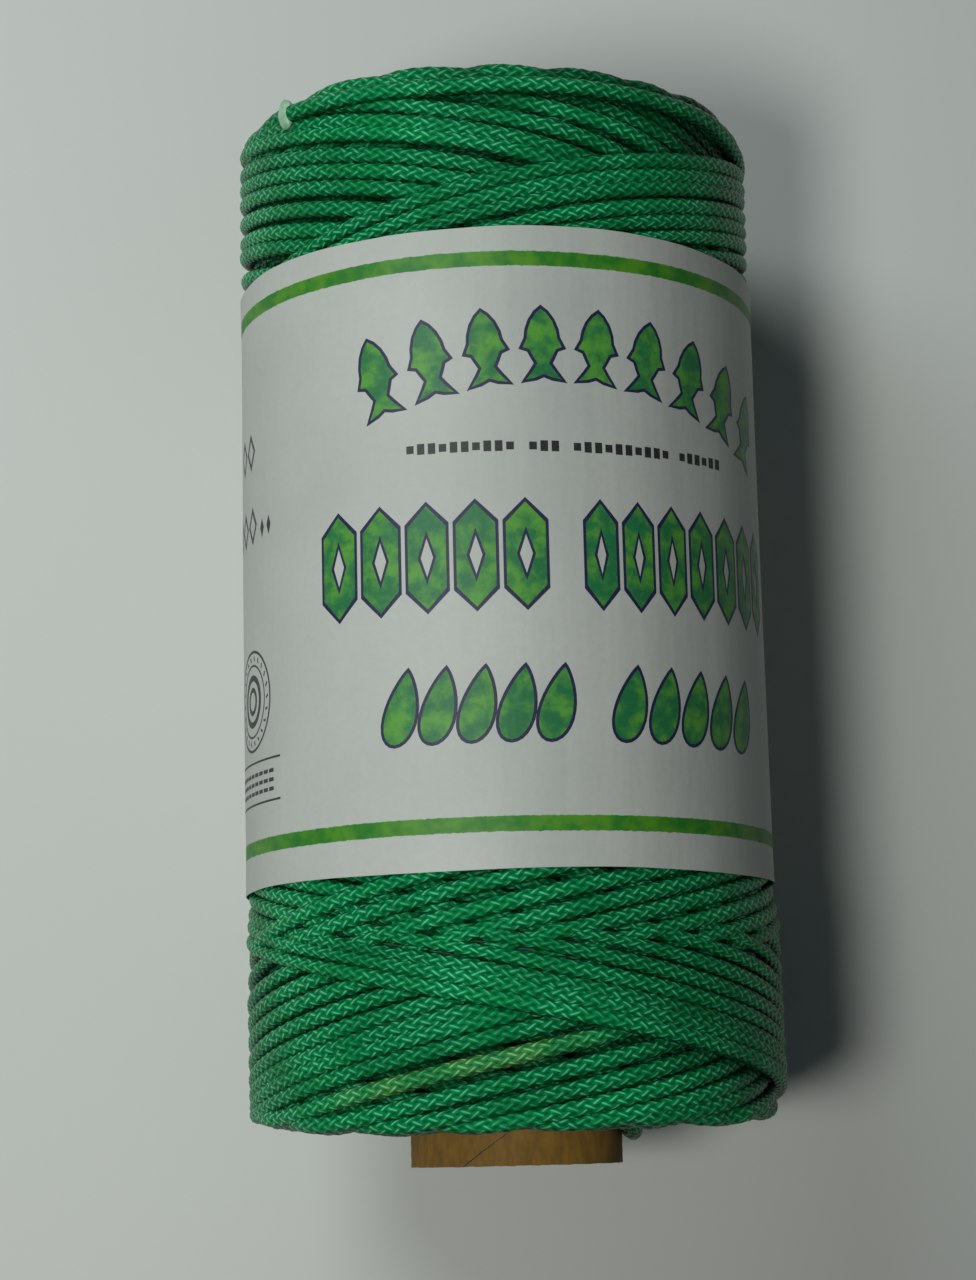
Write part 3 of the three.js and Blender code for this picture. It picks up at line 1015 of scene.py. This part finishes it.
def build_glue():
    """The glue between the label's lap and its start."""
    angle = np.linspace(math.radians(124), math.radians(134), 24)[:, None]
    along = (LABEL_MIDDLE + (LABEL_HALF - 6 * MM) * np.linspace(-1, 1, 60))[None, :]
    middle = LABEL_INNER_RADIUS + LABEL_THICKNESS + 0.04 * MM
    spread = 0.02 * MM + 0.004 * MM * np.sin(900 * along + 9 * angle)
    outer = place(angle, middle + spread, along + 0 * angle)
    inner = place(angle, middle - spread, along + 0 * angle)
    mesh = folded_mesh("label_glue", outer, inner, ended=False)
    add_piece(mesh, glue_material(), ["label_glue_strip"])


def turned_outline(outline, x, y, tilt, lean=0.0):
    """An outline leaned over, turned and moved to its place."""
    cosine, sine = math.cos(tilt), math.sin(tilt)
    leaned = [(u + lean * v, v) for u, v in outline]
    return [(x + u * cosine - v * sine, y + u * sine + v * cosine) for u, v in leaned]


def mirrored(outline):
    """The same outline on the other side of its upright middle line, still anticlockwise."""
    return [(-x, y) for x, y in outline[::-1]]


def grown(outline, amount):
    """An outline moved outwards by an amount all round."""
    count = len(outline)
    bigger = []
    for k in range(count):
        before, here, after = (Vector(outline[(k + step) % count]) for step in (-1, 0, 1))
        first = (here - before).normalized()
        second = (after - here).normalized()
        normal = Vector((first.y + second.y, -first.x - second.x))
        if normal.length < 0.05:
            normal = Vector((first.y, -first.x))
        normal.normalize()
        stretch = max(normal.dot(Vector((first.y, -first.x))), 0.5)
        bigger.append(tuple(here + normal * (amount / stretch)))
    return bigger


def fish_outline(width, height):
    """A plain fish, nose up, drawn anticlockwise."""
    right = [(0.22, -0.47), (0.46, -0.50), (0.28, -0.38), (0.15, -0.27), (0.24, -0.18), (0.34, -0.07),
             (0.50, -0.04), (0.39, 0.08), (0.36, 0.20), (0.27, 0.33), (0.13, 0.44)]
    outline = [(0.0, -0.42)] + right + [(0.0, 0.5)] + mirrored(right)
    return [(x * width, y * height) for x, y in outline]


def drop_outline(width, height):
    """A water drop with its point up, drawn anticlockwise."""
    outline = []
    for k in range(DROP_CORNERS):
        t = TURN * k / DROP_CORNERS
        x = 0.5 * width * math.sin(t) * abs(math.sin(t / 2)) ** 0.8
        outline.append((x, height * 0.5 * math.cos(t)))
    return outline[::-1]


def mesh_halves(width, height, border=0.0):
    """A net's mesh, as its right and left halves: a long six-sided cell with a lozenge-shaped hole."""
    across = width / 2 + border
    tip = height / 2 + 1.5 * border
    shoulder = 0.30 * height + border
    hole_across = 0.24 * width - border
    hole_tip = 0.26 * height - 2.5 * border
    right = [(0, -tip), (across, -shoulder), (across, shoulder), (0, tip),
             (0, hole_tip), (hole_across, 0), (0, -hole_tip)]
    return right, mirrored(right)


def ring_outlines(radius, wall, pieces=4):
    """A round band, as a few curved pieces that meet."""
    outlines = []
    for piece in range(pieces):
        turns = [TURN * (piece + k / 10) / pieces for k in range(11)]
        outline = []
        for edge, way in ((radius + wall / 2, turns), (radius - wall / 2, turns[::-1])):
            outline += [(edge * math.cos(t), edge * math.sin(t)) for t in way]
        outlines.append(outline)
    return outlines


def lozenge_sides(width, height, wall):
    """An open lozenge, as its right and left halves."""
    across, tip = width / 2, height / 2
    inset = wall * math.hypot(across, tip)
    right = [(0, -tip), (across, 0), (0, tip), (0, tip - inset / across), (across - inset / tip, 0),
             (0, inset / across - tip)]
    return right, mirrored(right)


def bar_outline(width, height):
    right = [(width / 2, -height / 2), (width / 2, height / 2)]
    return [(-width / 2, -height / 2)] + right + [(-width / 2, height / 2)]


def print_on_label(name, outlines, material, lift):
    """Ink lying on the curved label, cut into narrow strips so that it follows the curve."""
    bm = bmesh.new()
    for outline in outlines:
        bm.faces.new([bm.verts.new((x, y, 0)) for x, y in outline])
    low = min(x for outline in outlines for x, y in outline)
    high = max(x for outline in outlines for x, y in outline)
    cut = low + INK_STRIP
    while cut < high:
        everything = bm.verts[:] + bm.edges[:] + bm.faces[:]
        bmesh.ops.bisect_plane(bm, geom=everything, plane_co=(cut, 0, 0), plane_no=(1, 0, 0))
        cut += INK_STRIP
    bmesh.ops.triangulate(bm, faces=bm.faces[:])
    outer_radius = LABEL_INNER_RADIUS + LABEL_THICKNESS
    for vertex in bm.verts:
        angle = vertex.co.x * MM / outer_radius
        along = vertex.co.y * MM - PACKAGE_MIDDLE
        radius = float(label_radius(np.array(angle), np.array(along))) + lift
        vertex.co = Vector(label_place(np.array(angle), radius, along))
    bmesh.ops.recalc_face_normals(bm, faces=bm.faces[:])
    for face in bm.faces:
        middle = face.calc_center_median()
        if face.normal.dot(Vector((middle.x, 0, middle.z - AXIS_HEIGHT))) < 0:
            face.normal_flip()
    mesh = bpy.data.meshes.new(name)
    bm.to_mesh(mesh)
    bm.free()
    add_piece(mesh, material, ["paper_label"])


def arch_height(x):
    """The arched row's middle line."""
    return ARCH_TOP - ARCH_FALL * abs(x - ARCH_MIDDLE) ** 1.93


def spaced(groups):
    """The places in a row of signs, each with its group's pitch."""
    return [(first + k * pitch, pitch) for first, count, pitch in groups for k in range(count)]


def build_print():
    green = green_ink_material()
    navy = plain_ink_material("navy_ink", (0.012, 0.012, 0.055, 1))
    black = plain_ink_material("black_ink", (0.02, 0.02, 0.022, 1))
    filled, edges = [], []

    for k, (x, _) in enumerate(spaced(FISH_GROUPS)):
        tilt = math.atan((arch_height(x + 0.5) - arch_height(x - 0.5)) / 1.0)
        height = FISH_HEIGHT + 0.12 * abs(k - 4) ** 1.6
        outline = turned_outline(fish_outline(FISH_WIDTH, height), x, arch_height(x), tilt)
        filled.append(outline)
        edges.append(grown(outline, INK_BORDER))

    for x, pitch in spaced(MESH_GROUPS):
        for outlines, border in ((filled, 0.0), (edges, MESH_BORDER)):
            for half in mesh_halves(pitch - MESH_GAP, MESH_HEIGHT, border):
                outlines.append(turned_outline(half, x, MESH_ROW, 0.0))

    for x, _ in spaced(DROP_GROUPS):
        outline = turned_outline(drop_outline(*DROP_SIZE), x, DROP_ROW, 0.0, DROP_LEAN)
        filled.append(outline)
        edges.append(grown(outline, INK_BORDER))

    print_on_label("print_outlines", edges, navy, EDGE_LIFT)
    print_on_label("print_fill", filled, green, FILL_LIFT)
    build_small_print(black)


def build_small_print(black):
    """A row of short dashes, and at the label's left edge lozenges, a target and ruled lines."""
    marks = []
    x = DASHES_START
    for count in DASH_GROUPS:
        for k in range(count):
            height = 1.5 if k % 3 else 1.1
            dash = bar_outline(1.05, height)
            marks.append(turned_outline(dash, x, DASH_ROW + 0.0004 * (x - 12) ** 2, 0.0))
            x += DASH_PITCH
        x += DASH_GROUP_GAP
    for row, places in OPEN_LOZENGES:
        for x in places:
            for side in lozenge_sides(4.0, 5.6, 0.55):
                marks.append(turned_outline(side, x, row, 0.0))
    for x in (-42.6, -40.2):
        marks.append([(x - 0.7, 12.0), (x, 10.6), (x + 0.7, 12.0), (x, 13.4)])
    for radius, wall in TARGET_BANDS:
        for band in ring_outlines(radius, wall, 6):
            marks.append(turned_outline(band, *TARGET_PLACE, 0.0))
    for k in range(TARGET_TICKS):
        turn = TURN * k / TARGET_TICKS
        across, up = TARGET_TICK_RADIUS * math.cos(turn), TARGET_TICK_RADIUS * math.sin(turn)
        tick = turned_outline(bar_outline(0.75, 0.35), across, up, turn + 0.5)
        marks.append(turned_outline(tick, *TARGET_PLACE, 0.0))
    for row in RULED_ROWS:
        marks.append(turned_outline(bar_outline(19.0, 0.3), -47.0, row, 0.0))
    for row in DOTTED_ROWS:
        for x, _ in spaced(((-55.4, 9, 1.9),)):
            marks.append(turned_outline(bar_outline(1.5, 0.55), x, row, 0.0))
    print_on_label("print_small_marks", marks, black, MARK_LIFT)


# ---- the core

def ply(name, node, inner, outer, material, seam_start=None):
    """One ply of the core. A skin ply is a strip wound in a spiral, its edges almost meeting in a seam."""
    low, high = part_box(node)
    near, far = low.y - PACKAGE_MIDDLE, high.y - PACKAGE_MIDDLE
    along = np.linspace(near, far, 90)[None, :]
    seamed = seam_start is not None
    start = (seam_start if seamed else 0.0) + TURN * (along - near) / SEAM_LEAD
    half_gap = SEAM_GAP / outer / 2
    around = np.linspace(half_gap, TURN - half_gap, 200) if seamed else np.linspace(0, TURN, 200, False)
    angle = start + around[:, None]
    rough = 0.03 * MM * np.sin(23 * angle) + 0.03 * MM * np.sin(57 * angle + 1.0)
    ends = (along == near) * rough + (along == far) * rough
    outer_points = place(angle, outer + 0 * angle, along + ends)
    inner_points = place(angle, inner + 0 * angle, along + ends)
    mesh = folded_mesh(name, outer_points, inner_points, closed_rows=not seamed, ended=seamed)
    mesh.set_sharp_from_angle(angle=SHARP_ANGLE)
    add_piece(mesh, material, [node])


def build_core():
    skin = kraft_material("kraft_paper", (0.20, 0.110, 0.016, 1), (0.295, 0.163, 0.022, 1))
    board = kraft_material("grey_board", (0.15, 0.10, 0.035, 1), (0.25, 0.17, 0.065, 1))
    radii = [BORE_RADIUS]
    nodes = ["core_liner_ply", "core_board_ply_1", "core_board_ply_2", "core_wrapper_ply"]
    for node in nodes:
        radii.append(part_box(node)[1].x)
    overlap = 0.01 * MM
    ply("liner_paper", nodes[0], radii[0], radii[1], skin, LINER_SEAM)
    ply("inner_board", nodes[1], radii[1] + overlap, radii[2], board)
    ply("outer_board", nodes[2], radii[2] + overlap, radii[3], board)
    ply("wrapper_paper", nodes[3], radii[3] + overlap, radii[4], skin, WRAPPER_SEAM)


# ---- floor, camera and light

def build_floor():
    bpy.ops.mesh.primitive_plane_add(size=24.0, location=(0, 0, 0))
    floor = bpy.context.object
    floor.name = "floor"
    floor.data.materials.append(floor_material())


def build_camera():
    camera = bpy.data.objects.new("camera", bpy.data.cameras.new("camera"))
    bpy.context.scene.collection.objects.link(camera)
    camera.data.lens = CAMERA_LENS
    camera.data.sensor_width = 36
    camera.data.clip_start = 0.01
    back = Vector((0, -math.sin(CAMERA_TILT), math.cos(CAMERA_TILT)))
    up = Vector((0, math.cos(CAMERA_TILT), math.sin(CAMERA_TILT)))
    right = Vector((1, 0, 0))
    rolled_right = right * math.cos(CAMERA_ROLL) + up * math.sin(CAMERA_ROLL)
    rolled_up = up * math.cos(CAMERA_ROLL) - right * math.sin(CAMERA_ROLL)
    turn = Matrix((rolled_right, rolled_up, back)).transposed().to_4x4()
    camera.matrix_world = Matrix.Translation(CAMERA_TARGET + back * CAMERA_DISTANCE) @ turn
    bpy.context.scene.camera = camera


def build_room():
    """A faint even light from all sides, and the scene's plain view of colour."""
    world = bpy.data.worlds.new("room")
    world.use_nodes = True
    background = world.node_tree.nodes["Background"]
    background.inputs[0].default_value = ROOM_COLOR
    background.inputs[1].default_value = ROOM_STRENGTH
    bpy.context.scene.world = world
    bpy.context.scene.view_settings.view_transform = "Standard"


def add_light(name, place_at, size, power, color):
    """A round soft light aimed at the tube."""
    light = bpy.data.objects.new(name, bpy.data.lights.new(name, "AREA"))
    bpy.context.scene.collection.objects.link(light)
    light.data.shape = "DISK"
    light.data.size = size
    light.data.energy = power
    light.data.color = color
    light.location = place_at
    aim = LIGHTS_AIM - Vector(place_at)
    light.rotation_mode = "QUATERNION"
    light.rotation_quaternion = aim.to_track_quat("-Z", "Y")


build_twine()
build_label()
build_core()
build_floor()
build_camera()
for light in LIGHTS:
    add_light(*light)
build_room()
